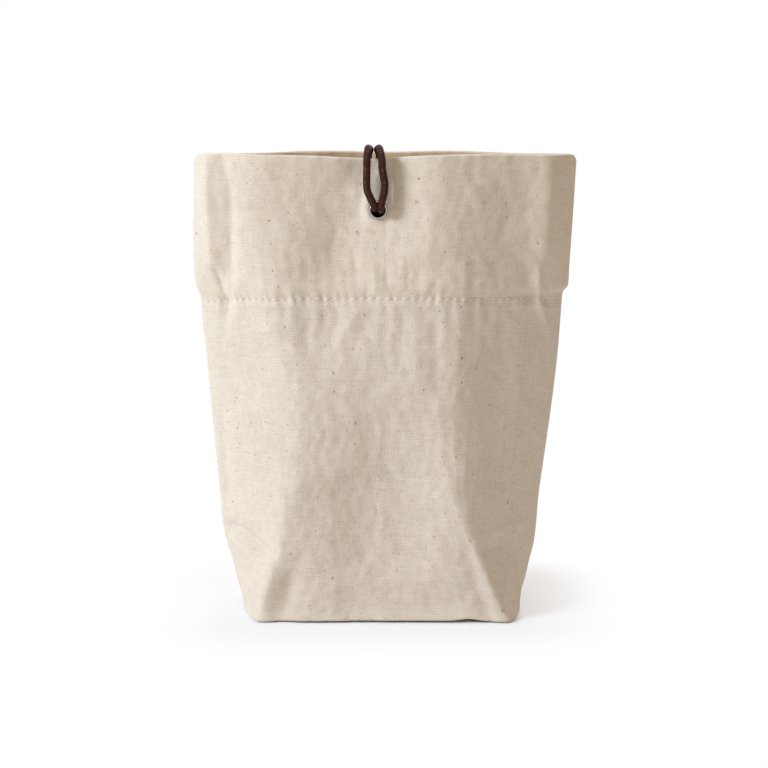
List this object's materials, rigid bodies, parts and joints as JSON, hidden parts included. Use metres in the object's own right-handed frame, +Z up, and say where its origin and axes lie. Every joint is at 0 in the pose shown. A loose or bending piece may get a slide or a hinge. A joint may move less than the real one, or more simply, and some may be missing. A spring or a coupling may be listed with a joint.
{
  "type": "canvas pouch",
  "caption": "Upright canvas pouch with a boxed base, an open mouth with a deep turned-in hem, and an elastic cord loop that runs from an eyelet in the front over the rim.",
  "frame": {"origin": "under the middle of the base, on the surface that the pouch stands on", "axes": "+Z up; the front with the eyelet faces -Y; +X is to the right of the front"},
  "size_m": [0.1646, 0.061, 0.2053],
  "materials": {
    "canvas": "unbleached cotton duck, matt",
    "sewing_thread": "natural spun thread",
    "nickel_plate": "bright nickel plate on pressed brass",
    "elastic_cord": "dark brown braid over a rubber core"
  },
  "bodies": {
    "pouch": {"base_panel": "canvas", "left_side_panel": "canvas", "right_side_panel": "canvas", "left_side_hem": "canvas", "right_side_hem": "canvas", "left_side_hem_stitching": "sewing_thread", "right_side_hem_stitching": "sewing_thread", "left_side_hem_bobbin_thread": "sewing_thread", "right_side_hem_bobbin_thread": "sewing_thread", "right_side_seam": "canvas", "left_side_seam": "canvas", "right_corner_seam": "canvas", "left_corner_seam": "canvas"},
    "front_wall": {"front_panel": "canvas", "front_hem": "canvas", "front_hem_stitching": "sewing_thread", "front_hem_bobbin_thread": "sewing_thread", "eyelet": "nickel_plate", "eyelet_washer": "nickel_plate", "loop_knot": "elastic_cord", "knot_left_tail": "elastic_cord", "knot_right_tail": "elastic_cord", "loop_left_strand": "elastic_cord", "loop_right_strand": "elastic_cord"},
    "back_wall": {"back_panel": "canvas", "back_hem": "canvas", "back_hem_stitching": "sewing_thread", "back_hem_bobbin_thread": "sewing_thread"},
    "loop": {"loop_left_crest": "elastic_cord", "loop_right_crest": "elastic_cord"},
    "loop_end": {"loop_bight": "elastic_cord"}
  },
  "joints": [
    {"name": "mouth_front", "type": "hinge", "parent": "pouch", "child": "front_wall", "pos_m": [0, -0.03005, 0.0012], "axis": [1, 0, 0], "range_deg": [-1, 3]},
    {"name": "mouth_back", "type": "hinge", "parent": "pouch", "child": "back_wall", "pos_m": [0, 0.03005, 0.0012], "axis": [1, 0, 0], "range_deg": [-3, 1]},
    {"name": "loop_stretch", "type": "slide", "parent": "front_wall", "child": "loop", "axis": [0, 0, 1], "range_m": [0, 0.012], "stiffness_N_per_m": 300, "deforming": ["loop_left_strand", "loop_right_strand"]},
    {"name": "loop_flip", "type": "hinge", "parent": "loop", "child": "loop_end", "pos_m": [0, -0.0127, 0.2021], "axis": [1, 0, 0], "range_deg": [0, 90]}
  ],
  "couplings": [
    {"joint": "mouth_back", "follows": "mouth_front", "ratio": -1}
  ]
}
